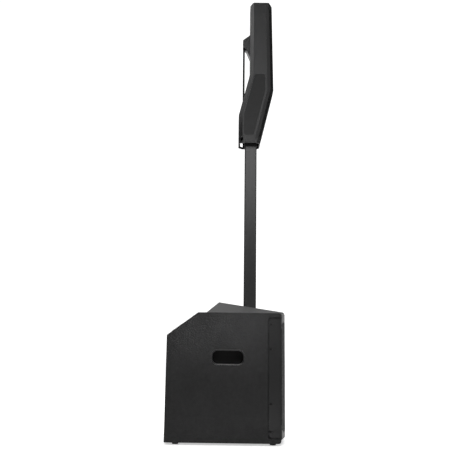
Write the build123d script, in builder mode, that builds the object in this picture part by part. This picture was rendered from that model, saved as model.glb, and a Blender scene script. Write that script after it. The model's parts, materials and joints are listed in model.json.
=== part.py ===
"""Column loudspeaker system: a ported subwoofer, a rectangular pole and a bent column array.

Units are millimetres and +Z is up. The origin lies on the floor, under the middle of the whole object.
The object faces -Y, and the control panel faces up and back, towards +Y.
"""
from build123d import *
from math import atan2, cos, degrees, radians, sin, sqrt
import os

os.makedirs("parts", exist_ok=True)

# ---------------------------------------------------------------- driving dimensions
# Subwoofer cabinet
cabinet_width = 443.0
board = 18.0
foot_height = 10.0
cabinet_top = 603.0
cabinet_front = -252.0
cabinet_rear = 286.5
slope_top_y = 140.5
slope_rear_z = 495.0
corner_radius = 12.0

# Bowed front grille of the subwoofer
grille_front = -286.5
bow_radius = 758.0
grille_sheet = 1.6
grille_half_width = 219.6
grille_bottom = 30.0
grille_top = 596.6
flange_rear = -191.0
flange_bottom = 32.0
flange_top = 582.0
flange_corner = 14.0
rebate = 3.5
grille_screw_y = -201.0
grille_screw_heights = (63.0, 186.0, 435.0, 550.0)

# Raised top housing
housing_base = 597.0
ridge_y = 44.0
ridge_z = 663.0
ridge_half_width = 64.0
hump_half_width = 150.0
hump_rear_y = 108.0
hump_front_y = -268.0
hump_front_z = 612.4
housing_wall = 5.0

# Hand pockets in the side panels
pocket_y = -2.5
pocket_z = 395.0
pocket_length = 146.0
pocket_height = 60.0
pocket_radius = 24.0

# Pole and its sockets
pole_y = -111.5
pole_depth = 63.0
pole_width = 45.0
pole_wall = 3.0
pole_corner = 4.0
pole_bottom = 530.0
pole_top = 1578.0
socket_gap = 0.3
socket_wall = 5.0
collar_wall = 1.7
collar_bottom = 1493.0

# Column array: each outer face is straight between its (height, Y) bends
array_bottom = 1500.0
array_top = 2304.0
array_half_width = 59.0
array_front_bends = ((1480.0, -154.3), (1800.0, -230.8), (array_top, -221.6))
array_rear_bends = ((1480.0, -46.0), (1660.0, -46.0), (1892.0, -104.0), (array_top, -104.0))
array_wall = 4.0
rear_corner = 20.0
front_corner = 18.0
seam_setback = 34.0
array_grille_bottom = 1522.0
array_grille_top = 2290.0
base_plate_top = 1586.0

# Woofer and ports
woofer_z = 350.0
baffle_front = -232.0
port_x = 110.0
port_z = 92.0

# ---------------------------------------------------------------- derived values
half_width = cabinet_width / 2
inner_half_width = half_width - board
cabinet_bottom = foot_height
bow_centre = grille_front + bow_radius
slope_run = cabinet_rear - slope_top_y
slope_drop = cabinet_top - slope_rear_z
slope_length = sqrt(slope_run**2 + slope_drop**2)
slope_angle = degrees(atan2(slope_drop, slope_run))
hump_slope = (ridge_z - hump_front_z) / (ridge_y - hump_front_y)


def bow_y(x, inset=0.0):
    """Y of the bowed front at x, on the surface lying inset behind the outer one."""
    return bow_centre - sqrt((bow_radius - inset) ** 2 - x**2)


def face_y(bends, z):
    """Y at height z of an array face that is straight between its bends."""
    for (low, start), (high, end) in zip(bends, bends[1:]):
        if z <= high:
            return start + (end - start) * (z - low) / (high - low)
    return bends[-1][1]


def array_front_y(z):
    """Y of the array's outer front face at height z."""
    return face_y(array_front_bends, z)


def array_rear_y(z):
    """Y of the array's outer rear face at height z."""
    return face_y(array_rear_bends, z)


def pillar(centre, size_x, size_y, bottom, top, radius=0.0):
    """Upright block with rounded vertical edges."""
    with BuildPart() as block:
        with BuildSketch(Plane.XY.offset(bottom)):
            with Locations(centre):
                if radius:
                    RectangleRounded(size_x, size_y, radius)
                else:
                    Rectangle(size_x, size_y)
        extrude(amount=top - bottom)
    return block.part


def screw(head_radius, head_height, shank_radius, length):
    """Pan-head screw on +Z, with the underside of its head at the origin and a drive recess."""
    with BuildPart() as body:
        Cylinder(head_radius, head_height, align=(Align.CENTER, Align.CENTER, Align.MIN))
        fillet(body.edges().sort_by(Axis.Z)[-1], head_height * 0.4)
        with BuildSketch(Plane.XY.offset(head_height)):
            RegularPolygon(head_radius * 0.42, 6)
        extrude(amount=-head_height * 0.6, mode=Mode.SUBTRACT)
        Cylinder(shank_radius, length, align=(Align.CENTER, Align.CENTER, Align.MAX))
    return body.part


# Control panel plane: local x runs to the right as seen from behind, local y runs up the slope.
panel_plane = Plane(
    origin=(0, (slope_top_y + cabinet_rear) / 2, (cabinet_top + slope_rear_z) / 2),
    x_dir=(-1, 0, 0),
    z_dir=(0, sin(radians(slope_angle)), cos(radians(slope_angle))),
)
hump_plane = Plane(
    origin=(0, pole_y, ridge_z - hump_slope * (ridge_y - pole_y)),
    x_dir=(1, 0, 0),
    z_dir=(0, -hump_slope, 1),
)


def panel_spot(u, v, depth=0.0):
    """Plane parallel to the control panel, depth below its outer face, centred on (u, v)."""
    spot = panel_plane.offset(-depth)
    return Plane(origin=spot.from_local_coords((u, v, 0)), x_dir=spot.x_dir, z_dir=spot.z_dir)


# ---------------------------------------------------------------- subwoofer cabinet boards
cabinet_outline = [
    (cabinet_rear, cabinet_bottom),
    (cabinet_rear, slope_rear_z),
    (slope_top_y, cabinet_top),
    (cabinet_front, cabinet_top),
    (cabinet_front, cabinet_bottom),
]


def flange_outline(grow):
    """Outline of a grille side flange in the YZ plane, grown on its three free sides."""
    rear = flange_rear + grow
    low = flange_bottom - grow
    high = flange_top + grow
    return [
        (cabinet_front - 10, low),
        (rear - flange_corner, low),
        (rear, low + flange_corner),
        (rear, high - flange_corner),
        (rear - flange_corner, high),
        (cabinet_front - 10, high),
    ]


cup_screw_spots = [(pocket_y + dy, pocket_z + dz) for dy in (-86, 86) for dz in (-30, 50)]

with BuildPart() as side_panel_left:
    with BuildSketch(Plane.YZ.offset(-half_width)) as side_sketch:
        with BuildLine():
            Polyline(*cabinet_outline, close=True)
        make_face()
        fillet(side_sketch.vertices().group_by(Axis.X)[0], corner_radius)
    extrude(amount=board)
    with BuildSketch(Plane.YZ.offset(-half_width)):
        with BuildLine():
            Polyline(*flange_outline(0.5), close=True)
        make_face()
    extrude(amount=rebate, mode=Mode.SUBTRACT)
    with BuildSketch(Plane.YZ.offset(-half_width)):
        with Locations((pocket_y, pocket_z)):
            RectangleRounded(pocket_length, pocket_height, pocket_radius)
    extrude(amount=board, mode=Mode.SUBTRACT)
    pocket_rim = side_panel_left.edges().filter_by_position(Axis.X, -half_width - 0.1, -half_width + 0.1)
    pocket_rim = pocket_rim.filter_by_position(Axis.Y, pocket_y - 80, pocket_y + 80)
    pocket_rim = pocket_rim.filter_by_position(Axis.Z, pocket_z - 35, pocket_z + 35)
    chamfer(pocket_rim, 3)
    with BuildSketch(Plane.YZ.offset(-half_width)):
        with Locations(*[(grille_screw_y, z) for z in grille_screw_heights]):
            Circle(2.05)
    extrude(amount=board, mode=Mode.SUBTRACT)
    with BuildSketch(Plane.YZ.offset(-inner_half_width)):
        with Locations(*cup_screw_spots):
            Circle(1.55)
    extrude(amount=-10, mode=Mode.SUBTRACT)

with BuildPart() as side_panel_right:
    mirror(side_panel_left.part, about=Plane.YZ)

foot_spots = [(x, y) for x in (-180, 180) for y in (-215.5, 236.5)]
bottom_inset = 6.0

with BuildPart() as bottom_panel:
    with BuildSketch(Plane.XY.offset(cabinet_bottom)):
        with BuildLine():
            front_left = (-inner_half_width, bow_y(inner_half_width, bottom_inset))
            front_right = (inner_half_width, bow_y(inner_half_width, bottom_inset))
            ThreePointArc(front_left, (0, bow_y(0, bottom_inset)), front_right)
            Polyline(front_right, (inner_half_width, cabinet_rear), (-inner_half_width, cabinet_rear), front_left)
        make_face()
    extrude(amount=board)
    chamfer(bottom_panel.edges().filter_by(GeomType.CIRCLE).sort_by(Axis.Z)[0], 14)
    with BuildSketch(Plane.XY.offset(cabinet_bottom)):
        with Locations(*foot_spots):
            Circle(2.05)
    extrude(amount=14, mode=Mode.SUBTRACT)

inner_floor = cabinet_bottom + board
wood_top = housing_base
back_slant = board * slope_run / slope_drop

with BuildPart() as back_panel:
    with BuildSketch(Plane.YZ.offset(-inner_half_width)):
        with BuildLine():
            Polyline(
                (cabinet_rear, inner_floor),
                (cabinet_rear, slope_rear_z),
                (cabinet_rear - board, slope_rear_z - back_slant),
                (cabinet_rear - board, inner_floor),
                close=True,
            )
        make_face()
    extrude(amount=2 * inner_half_width)

socket_outer_y = pole_depth + 2 * (socket_gap + socket_wall)
socket_outer_x = pole_width + 2 * (socket_gap + socket_wall)
top_panel_rear = 126.0
housing_screw_spots = [(x, y) for x in (-190, 190) for y in (-225, -60, 105)]

with BuildPart() as top_panel:
    with BuildSketch(Plane.XY.offset(wood_top - board)):
        with BuildLine():
            Polyline(
                (-inner_half_width, cabinet_front),
                (inner_half_width, cabinet_front),
                (inner_half_width, top_panel_rear),
                (-inner_half_width, top_panel_rear),
                close=True,
            )
        make_face()
        with Locations((0, pole_y)):
            Rectangle(socket_outer_x + 0.6, socket_outer_y + 0.6, mode=Mode.SUBTRACT)
        with Locations(*housing_screw_spots):
            Circle(1.55, mode=Mode.SUBTRACT)
    extrude(amount=board)

woofer_spot = Plane(origin=(0, baffle_front, woofer_z), x_dir=(1, 0, 0), z_dir=(0, -1, 0))
woofer_screw_circle = 183.0

with BuildPart() as baffle_board:
    with BuildSketch(Plane.XZ.offset(-baffle_front)):
        with Locations((0, (inner_floor + wood_top - board) / 2)):
            Rectangle(2 * inner_half_width, wood_top - board - inner_floor)
        with Locations((0, woofer_z)):
            Circle(176.5, mode=Mode.SUBTRACT)
            with PolarLocations(woofer_screw_circle, 8, start_angle=22.5):
                Circle(2.55, mode=Mode.SUBTRACT)
        with Locations((-port_x, port_z), (port_x, port_z)):
            Circle(50.8, mode=Mode.SUBTRACT)
    extrude(amount=-board)

with BuildPart() as cabinet_brace:
    with BuildSketch(Plane.XY.offset(300)):
        with Locations((0, 103)):
            Rectangle(2 * inner_half_width, 326)
        with Locations((-97, 103), (97, 103)):
            RectangleRounded(150, 250, 50, mode=Mode.SUBTRACT)
    extrude(amount=board)

# ---------------------------------------------------------------- raised top housing


def hump_block(inset):
    """Hipped ridge above the cabinet top, drawn inset inside its outer faces."""
    with BuildPart() as block:
        with BuildSketch(Plane.YZ) as profile:
            with BuildLine():
                Polyline(
                    (hump_rear_y + 40, 560),
                    (hump_rear_y, cabinet_top),
                    (ridge_y, ridge_z),
                    (hump_front_y, hump_front_z),
                    (hump_front_y - 40, hump_front_z - 40),
                    (hump_front_y - 40, 560),
                    close=True,
                )
            make_face()
            offset(amount=-inset, kind=Kind.INTERSECTION)
        extrude(amount=hump_half_width + 40, both=True)
        rise = ridge_z - cabinet_top
        run = hump_half_width - ridge_half_width
        for side in (-1, 1):
            flank = Plane(origin=(side * hump_half_width, 0, cabinet_top), x_dir=(0, 1, 0), z_dir=(side * rise, 0, run))
            split(bisect_by=flank.offset(-inset), keep=Keep.BOTTOM)
        split(bisect_by=Plane.XY.offset(housing_base), keep=Keep.TOP)
        with BuildSketch(Plane.XY.offset(housing_base)):
            with Locations((0, grille_front - 100)):
                Rectangle(2 * hump_half_width + 80, 200)
            with BuildLine():
                edge = hump_half_width + 40
                ThreePointArc((-edge, bow_y(edge, inset)), (0, bow_y(0, inset)), (edge, bow_y(edge, inset)))
                Polyline((edge, bow_y(edge, inset)), (edge, grille_front - 50), (-edge, grille_front - 50),
                         (-edge, bow_y(edge, inset)))
            make_face()
        extrude(amount=100, mode=Mode.SUBTRACT)
    return block.part


nose_half_width = 219.0
cover_half_width = inner_half_width - 0.3
nose_back = cabinet_front - 0.3
slant_end = slope_top_y - (cabinet_top - housing_base) * slope_drop / slope_run
hump_shell = hump_block(0)
hump_hollow = hump_block(housing_wall)

with BuildPart() as top_housing:
    with BuildSketch(Plane.XY.offset(housing_base)):
        with BuildLine():
            nose_left = (-nose_half_width, bow_y(nose_half_width))
            nose_right = (nose_half_width, bow_y(nose_half_width))
            ThreePointArc(nose_left, (0, grille_front), nose_right)
            Polyline(nose_right, (nose_half_width, nose_back), (-nose_half_width, nose_back), nose_left)
        make_face()
        with Locations((0, (nose_back + slope_top_y) / 2)):
            Rectangle(2 * cover_half_width, slope_top_y - nose_back)
    extrude(amount=cabinet_top - housing_base)
    with BuildSketch(Plane.YZ):
        with BuildLine():
            Polyline((slope_top_y, cabinet_top), (slant_end, housing_base), (slope_top_y + 1, housing_base), close=True)
        make_face()
    extrude(amount=half_width, both=True, mode=Mode.SUBTRACT)
    add(hump_shell)
    add(hump_hollow, mode=Mode.SUBTRACT)
    with BuildSketch(Plane.XY.offset(housing_base)):
        with Locations((0, pole_y)):
            Rectangle(socket_outer_x + 0.6, socket_outer_y + 0.6)
        with Locations(*housing_screw_spots):
            Circle(2.3)
    extrude(amount=100, mode=Mode.SUBTRACT)

socket_flange = 3.0
socket_floor = 5.0

with BuildPart() as pole_socket:
    add(pillar((0, pole_y), socket_outer_x, socket_outer_y, pole_bottom - socket_floor, 680))
    split(bisect_by=hump_plane.offset(socket_flange), keep=Keep.BOTTOM)
    with BuildSketch(hump_plane):
        RectangleRounded(socket_outer_x + 16, socket_outer_y + 16, 8)
    extrude(amount=socket_flange)
    add(
        pillar((0, pole_y), pole_width + 2 * socket_gap, pole_depth + 2 * socket_gap, pole_bottom, 700),
        mode=Mode.SUBTRACT,
    )

contact_size = (30.0, 20.0, 5.0)

with BuildPart() as socket_contacts:
    add(pillar((0, pole_y), contact_size[0], contact_size[1], pole_bottom, pole_bottom + contact_size[2], 3))

# ---------------------------------------------------------------- subwoofer grille
with BuildPart() as sub_grille:
    grille_inner = grille_half_width - grille_sheet
    with BuildSketch(Plane.XY.offset(grille_bottom)):
        with BuildLine():
            outer_left = (-grille_half_width, bow_y(grille_half_width))
            outer_right = (grille_half_width, bow_y(grille_half_width))
            inner_left = (-grille_inner, bow_y(grille_inner, grille_sheet))
            inner_right = (grille_inner, bow_y(grille_inner, grille_sheet))
            ThreePointArc(outer_left, (0, grille_front), outer_right)
            Polyline(outer_right, (grille_half_width, flange_rear), (grille_inner, flange_rear), inner_right)
            ThreePointArc(inner_right, (0, grille_front + grille_sheet), inner_left)
            Polyline(inner_left, (-grille_inner, flange_rear), (-grille_half_width, flange_rear), outer_left)
        make_face()
    extrude(amount=grille_top - grille_bottom)
    with BuildSketch(Plane.YZ):
        with Locations(((nose_back + flange_rear) / 2 + 10, (grille_top + grille_bottom) / 2)):
            Rectangle(flange_rear - nose_back + 20, grille_top - grille_bottom + 20)
        with BuildLine():
            Polyline(*flange_outline(0), close=True)
        make_face(mode=Mode.SUBTRACT)
        with Locations(*[(grille_screw_y, z) for z in grille_screw_heights]):
            Circle(2.6)
    extrude(amount=half_width, both=True, mode=Mode.SUBTRACT)

foam_gap = 2.1
foam_thickness = 5.0

with BuildPart() as sub_grille_foam:
    foam_half_width = inner_half_width - 4
    foam_back = foam_gap + foam_thickness
    with BuildSketch(Plane.XY.offset(grille_bottom + 2)):
        with BuildLine():
            foam_front = [(side * foam_half_width, bow_y(foam_half_width, foam_gap)) for side in (-1, 1)]
            foam_rear = [(side * foam_half_width, bow_y(foam_half_width, foam_back)) for side in (-1, 1)]
            ThreePointArc(foam_front[0], (0, bow_y(0, foam_gap)), foam_front[1])
            Line(foam_front[1], foam_rear[1])
            ThreePointArc(foam_rear[1], (0, bow_y(0, foam_back)), foam_rear[0])
            Line(foam_rear[0], foam_front[0])
        make_face()
    extrude(amount=grille_top - grille_bottom - 4)

grille_screw = screw(4.7, 1.8, 2.0, 16)

with BuildPart() as sub_grille_screws:
    for side in (-1, 1):
        for z in grille_screw_heights:
            add(Plane(origin=(side * grille_half_width, grille_screw_y, z), z_dir=(side, 0, 0)).location * grille_screw)

# ---------------------------------------------------------------- hand pockets
cup_depth = 43.0
cup_wall = 3.0
cup_flange = (196.0, 124.0)

with BuildPart() as handle_cup_left:
    with BuildSketch(Plane.YZ.offset(-inner_half_width)):
        with Locations((pocket_y, pocket_z + 10)):
            RectangleRounded(*cup_flange, 14)
    extrude(amount=4)
    with BuildSketch(Plane.YZ.offset(-inner_half_width)):
        with Locations((pocket_y, pocket_z + 10)):
            RectangleRounded(pocket_length + 8 + 2 * cup_wall, pocket_height + 24 + 2 * cup_wall, 27)
    extrude(amount=cup_depth)
    with BuildSketch(Plane.YZ.offset(-inner_half_width)):
        with Locations((pocket_y, pocket_z + 10)):
            RectangleRounded(pocket_length + 8, pocket_height + 24, 24)
    extrude(amount=cup_depth - cup_wall, mode=Mode.SUBTRACT)
    with BuildSketch(Plane.YZ.offset(-inner_half_width)):
        with Locations(*cup_screw_spots):
            Circle(2.1)
    extrude(amount=4, mode=Mode.SUBTRACT)

with BuildPart() as handle_cup_right:
    mirror(handle_cup_left.part, about=Plane.YZ)

cup_screw = screw(3.6, 2.2, 1.5, 13)

with BuildPart() as handle_cup_screws:
    for side in (-1, 1):
        for y, z in cup_screw_spots:
            add(Plane(origin=(side * (inner_half_width - 4), y, z), z_dir=(-side, 0, 0)).location * cup_screw)

# ---------------------------------------------------------------- feet
with BuildPart() as rubber_feet:
    with BuildSketch(Plane.XY):
        with Locations(*foot_spots):
            Circle(14)
    extrude(amount=foot_height, taper=-12)
    with BuildSketch(Plane.XY):
        with Locations(*foot_spots):
            Circle(5)
    extrude(amount=5, mode=Mode.SUBTRACT)
    with BuildSketch(Plane.XY):
        with Locations(*foot_spots):
            Circle(2.2)
    extrude(amount=foot_height, mode=Mode.SUBTRACT)

foot_screw = screw(4.2, 2.4, 2.0, 18)

with BuildPart() as foot_screws:
    for x, y in foot_spots:
        add(Plane(origin=(x, y, 5), z_dir=(0, 0, -1)).location * foot_screw)

housing_screw = screw(4.0, 2.2, 1.5, 20)

with BuildPart() as housing_screws:
    for x, y in housing_screw_spots:
        add(Plane(origin=(x, y, cabinet_top), z_dir=(0, 0, 1)).location * housing_screw)

# ---------------------------------------------------------------- woofer
woofer_axis = Axis((0, 0, woofer_z), (0, 1, 0))


def woofer_ring(outline):
    """Solid of revolution about the woofer's axis from (y, radius) points."""
    with BuildPart() as ring:
        with BuildSketch(Plane.YZ):
            with BuildLine():
                Polyline(*[(y, woofer_z + radius) for y, radius in outline], close=True)
            make_face()
        revolve(axis=woofer_axis)
    return ring.part


with BuildPart() as woofer_frame:
    add(woofer_ring([(-240, 172), (-240, 194), (-232, 194), (-232, 176), (-134, 98), (-130, 98), (-130, 52),
                     (-134, 52), (-134, 94), (-230, 172)]))
    with BuildSketch(woofer_spot.offset(20)):
        with PolarLocations(135, 8):
            SlotOverall(52, 34, rotation=90)
    extrude(amount=-130, mode=Mode.SUBTRACT)
    with BuildSketch(woofer_spot):
        with PolarLocations(woofer_screw_circle, 8, start_angle=22.5):
            Circle(2.7)
    extrude(amount=8, mode=Mode.SUBTRACT)

with BuildPart() as woofer_magnet:
    add(woofer_ring([(-130, 52), (-130, 92), (-76, 92), (-68, 84), (-68, 0), (-130, 0), (-130, 46.5), (-84, 46.5),
                     (-84, 52)]))

with BuildPart() as woofer_surround:
    with BuildSketch(Plane.YZ):
        with BuildLine():
            ThreePointArc((-241, woofer_z + 170), (-251, woofer_z + 160), (-241, woofer_z + 150))
            Polyline((-241, woofer_z + 150), (-241, woofer_z + 147), (-240, woofer_z + 147), (-240, woofer_z + 151))
            ThreePointArc((-240, woofer_z + 151), (-249.8, woofer_z + 160), (-240, woofer_z + 169))
            Polyline((-240, woofer_z + 169), (-240, woofer_z + 178), (-241, woofer_z + 178), (-241, woofer_z + 170))
        make_face()
    revolve(axis=woofer_axis)

with BuildPart() as woofer_spider:
    add(woofer_ring([(-150, 50.6), (-151, 50.6), (-154, 60), (-148, 70), (-154, 80), (-149, 92), (-142, 96),
                     (-141, 95.4), (-148, 91), (-153, 80), (-147, 70), (-153, 60)]))

with BuildPart() as woofer_cone:
    add(woofer_ring([(-240.4, 146.2), (-239, 146.2), (-170, 50.2), (-128, 50.2), (-128, 48.6), (-171.4, 48.6)]))

cap_radius = 101.2
cap_centre = -103.4
cap_sheet = 1.4


def cap_arc(radius):
    """Three points of the dust cap's meridian, from the axis out to its rim."""
    return [
        (cap_centre - radius * cos(radians(angle)), woofer_z + radius * sin(radians(angle)))
        for angle in (0, 19.2, 38.4)
    ]


with BuildPart() as woofer_dust_cap:
    with BuildSketch(Plane.YZ):
        with BuildLine():
            cap_front = cap_arc(cap_radius)
            cap_back = cap_arc(cap_radius - cap_sheet)
            ThreePointArc(*cap_front)
            Line(cap_front[-1], cap_back[-1])
            ThreePointArc(*reversed(cap_back))
            Line(cap_back[0], cap_front[0])
        make_face()
    revolve(axis=woofer_axis)

woofer_screw = screw(4.4, 3.0, 2.5, 24)

with BuildPart() as woofer_screws:
    with Locations(woofer_spot.offset(8)):
        with PolarLocations(woofer_screw_circle, 8, start_angle=22.5):
            add(woofer_screw)

with BuildPart() as port_tubes:
    with BuildSketch(Plane.XZ.offset(-baffle_front)):
        with Locations((-port_x, port_z), (port_x, port_z)):
            Circle(57)
            Circle(47.5, mode=Mode.SUBTRACT)
    extrude(amount=5)
    with BuildSketch(Plane.XZ.offset(-baffle_front)):
        with Locations((-port_x, port_z), (port_x, port_z)):
            Circle(50.5)
            Circle(47.5, mode=Mode.SUBTRACT)
    extrude(amount=-175)

# ---------------------------------------------------------------- control panel
plate = 3.0
display_spot = (-128, 30)
encoder_spot = (-66, 30)
combo_spots = [(-10, 32), (36, 32)]
link_spot = (80, 32)
inlet_spot = (140, 28)
switch_spot = (140, -34)
rocker_depth = 4.0
rocker_pin = 1.2
rocker_tilt = 7.0
sink_spot = (-36, -38)
panel_screw_spots = [(u, v) for u in (-196, 196) for v in (-62, 0, 62)]
panel_screw_spots += [(u, v) for u in (-100, 0, 100) for v in (-83, 83)]

with BuildPart() as control_frame:
    with BuildSketch(panel_plane.offset(-plate)):
        Rectangle(2 * inner_half_width, slope_length)
        Rectangle(2 * inner_half_width - 22, slope_length - 23, mode=Mode.SUBTRACT)
        with Locations(*panel_screw_spots):
            Circle(1.55, mode=Mode.SUBTRACT)
    extrude(amount=-15)

with BuildPart() as control_panel:
    with BuildSketch(panel_plane):
        Rectangle(2 * inner_half_width - 0.8, slope_length - 0.8)
        with Locations(display_spot):
            Rectangle(60, 30, mode=Mode.SUBTRACT)
        with Locations(encoder_spot):
            Circle(3.6, mode=Mode.SUBTRACT)
        with Locations(*combo_spots):
            Circle(12.1, mode=Mode.SUBTRACT)
        with Locations(link_spot):
            Circle(5.1, mode=Mode.SUBTRACT)
        with Locations(inlet_spot):
            Rectangle(28.4, 20.8, mode=Mode.SUBTRACT)
        with Locations(switch_spot):
            Rectangle(27.4, 21.4, mode=Mode.SUBTRACT)
        with Locations(*panel_screw_spots):
            Circle(1.9, mode=Mode.SUBTRACT)
    extrude(amount=-plate)

chassis_depth = 58.0

with BuildPart() as amp_chassis:
    with BuildSketch(panel_plane.offset(-plate)):
        Rectangle(380, 154)
    extrude(amount=-chassis_depth)
    with BuildSketch(panel_plane.offset(-plate)):
        Rectangle(377, 151)
    extrude(amount=1.5 - chassis_depth, mode=Mode.SUBTRACT)

with BuildPart() as amp_board:
    with BuildSketch(panel_plane.offset(-42)):
        Rectangle(360, 140)
    extrude(amount=-1.6)
    with BuildSketch(panel_plane.offset(-42)):
        with Locations((-120, 0)):
            RectangleRounded(60, 60, 6)
        with Locations((0, -38)):
            with GridLocations(34, 30, 3, 2):
                Circle(13)
        with Locations((110, -30)):
            Rectangle(40, 50)
    extrude(amount=22)

fin_count = 13
fin_pitch = 4.6

with BuildPart() as amp_heatsink:
    with BuildSketch(panel_spot(*sink_spot)):
        Rectangle(250, 62)
    extrude(amount=3)
    with BuildSketch(panel_spot(*sink_spot, depth=-3)):
        with GridLocations(0, fin_pitch, 1, fin_count):
            Rectangle(250, 1.6)
    extrude(amount=9)

with BuildPart() as display_window:
    with BuildSketch(panel_spot(*display_spot)):
        RectangleRounded(68, 38, 3)
    extrude(amount=1.6)
    with BuildSketch(panel_spot(*display_spot)):
        Rectangle(59.4, 29.4)
    extrude(amount=-plate)

with BuildPart() as encoder_body:
    with BuildSketch(panel_spot(*encoder_spot, depth=plate)):
        Rectangle(14, 14)
    extrude(amount=-8)
    with BuildSketch(panel_spot(*encoder_spot, depth=plate)):
        Circle(3.5)
    extrude(amount=plate + 5.5)
    with BuildSketch(panel_spot(*encoder_spot)):
        RegularPolygon(5.6, 6)
    extrude(amount=2)
    with BuildSketch(panel_spot(*encoder_spot, depth=plate + 6)):
        Circle(2.6)
    extrude(amount=30, mode=Mode.SUBTRACT)

with BuildPart() as encoder_rotor:
    with BuildSketch(panel_spot(*encoder_spot, depth=plate + 5.5)):
        Circle(2.55)
        Circle(1.6, mode=Mode.SUBTRACT)
    extrude(amount=plate + 10.5)

with BuildPart() as encoder_knob:
    with BuildSketch(panel_spot(*encoder_spot, depth=-2.8)):
        Circle(13.5)
    extrude(amount=16, taper=3)
    fillet(encoder_knob.edges().group_by(Axis(panel_plane.origin, panel_plane.z_dir))[-1], 1.2)
    with BuildSketch(panel_spot(*encoder_spot, depth=-2.8)):
        Circle(8)
    extrude(amount=7, mode=Mode.SUBTRACT)
    with BuildSketch(panel_spot(*encoder_spot, depth=-1)):
        Circle(1.55)
    extrude(amount=11)
    with BuildSketch(panel_spot(*encoder_spot, depth=-18.8)):
        with PolarLocations(13.4, 18):
            Circle(0.9)
    extrude(amount=-16, mode=Mode.SUBTRACT)

with BuildPart() as combo_jacks:
    for spot in combo_spots:
        with BuildSketch(panel_spot(*spot)):
            RectangleRounded(26, 31, 3)
        extrude(amount=2.2)
        with BuildSketch(panel_spot(*spot)):
            Circle(11.9)
        extrude(amount=-30)
        with BuildSketch(panel_spot(*spot, depth=-2.2)):
            Circle(3.2)
            with PolarLocations(7.4, 3, start_angle=90):
                Circle(1.5)
        extrude(amount=-26, mode=Mode.SUBTRACT)

with BuildPart() as link_jack:
    with BuildSketch(panel_spot(*link_spot, depth=plate)):
        Rectangle(16, 16)
    extrude(amount=-26)
    with BuildSketch(panel_spot(*link_spot, depth=plate)):
        Circle(5)
    extrude(amount=plate + 3.5)
    with BuildSketch(panel_spot(*link_spot)):
        RegularPolygon(8, 6)
    extrude(amount=2.4)
    with BuildSketch(panel_spot(*link_spot, depth=-3.5)):
        Circle(3.2)
    extrude(amount=-26, mode=Mode.SUBTRACT)

with BuildPart() as mains_inlet:
    with BuildSketch(panel_spot(*inlet_spot)):
        RectangleRounded(50, 24, 4)
        with Locations((-20, 0), (20, 0)):
            Circle(1.75, mode=Mode.SUBTRACT)
    extrude(amount=3)
    with BuildSketch(panel_spot(*inlet_spot)):
        Rectangle(28, 20.4)
    extrude(amount=-24)
    with BuildSketch(panel_spot(*inlet_spot, depth=-3)) as recess_sketch:
        Rectangle(24.4, 16.4)
        chamfer(recess_sketch.vertices().group_by(Axis.Y)[-1], 4)
    extrude(amount=-20, mode=Mode.SUBTRACT)

with BuildPart() as mains_pins:
    with BuildSketch(panel_spot(*inlet_spot, depth=17)):
        with Locations((-7, -2), (7, -2), (0, 2)):
            Rectangle(2, 4)
    extrude(amount=13)

with BuildPart() as power_switch_frame:
    with BuildSketch(panel_spot(*switch_spot)):
        RectangleRounded(32, 26, 2)
    extrude(amount=2)
    with BuildSketch(panel_spot(*switch_spot)):
        Rectangle(27, 21)
    extrude(amount=-20)
    with BuildSketch(panel_spot(*switch_spot, depth=-2)):
        Rectangle(22.6, 16.6)
    extrude(amount=-17, mode=Mode.SUBTRACT)
    with BuildSketch(Plane(origin=panel_spot(*switch_spot, depth=rocker_depth).origin, z_dir=(1, 0, 0))):
        Circle(rocker_pin + 0.3)
    extrude(amount=16, both=True, mode=Mode.SUBTRACT)

rocker_plane = panel_spot(*switch_spot, depth=rocker_depth)
rocker_lean = rocker_plane.y_dir.rotate(Axis((0, 0, 0), rocker_plane.x_dir), rocker_tilt)
rocker_side = Plane(origin=rocker_plane.origin, x_dir=rocker_lean, z_dir=rocker_plane.x_dir)

with BuildPart() as power_rocker:
    with BuildSketch(rocker_side):
        with BuildLine():
            Polyline((-6.8, 7.4), (0, 5.4), (6.8, 7.4), (6.6, -2), (2, -5), (-2, -5), (-6.6, -2), close=True)
        make_face()
    extrude(amount=10.8, both=True)
    with BuildSketch(rocker_side):
        Circle(rocker_pin)
    extrude(amount=12.6, both=True)

panel_screw = screw(3.8, 2.2, 1.5, 16)
inlet_screw = screw(3.0, 1.8, 1.6, 2.9)

with BuildPart() as control_panel_screws:
    for u, v in panel_screw_spots:
        add(panel_spot(u, v).location * panel_screw)
    for side in (-1, 1):
        add(panel_spot(inlet_spot[0] + 20 * side, inlet_spot[1], depth=-3).location * inlet_screw)

# ---------------------------------------------------------------- pole


def pole_section(inset, bottom, top):
    """Length of the pole's chamfered rectangle, drawn inset inside its outer faces."""
    with BuildPart() as length:
        with BuildSketch(Plane.XY.offset(bottom)) as section:
            with Locations((0, pole_y)):
                Rectangle(pole_width - 2 * inset, pole_depth - 2 * inset)
            chamfer(section.vertices(), pole_corner - 0.586 * inset)
        extrude(amount=top - bottom)
    return length.part


plug_length = 15.0
recess = (36.0, 26.0)

with BuildPart() as pole_tube:
    add(pole_section(0, pole_bottom + plug_length, pole_top - plug_length))
    add(pole_section(pole_wall, pole_bottom, pole_top), mode=Mode.SUBTRACT)

with BuildPart() as pole_lower_plug:
    add(pole_section(0, pole_bottom, pole_bottom + plug_length))
    add(pole_section(pole_wall + 0.1, pole_bottom + plug_length, pole_bottom + plug_length + 30))
    add(pillar((0, pole_y), *recess, pole_bottom, pole_bottom + 8), mode=Mode.SUBTRACT)

with BuildPart() as pole_upper_plug:
    add(pole_section(0, pole_top - plug_length, pole_top))
    add(pole_section(pole_wall + 0.1, pole_top - plug_length - 30, pole_top - plug_length))
    add(pillar((0, pole_y), *recess, pole_top - 8, pole_top), mode=Mode.SUBTRACT)

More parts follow.
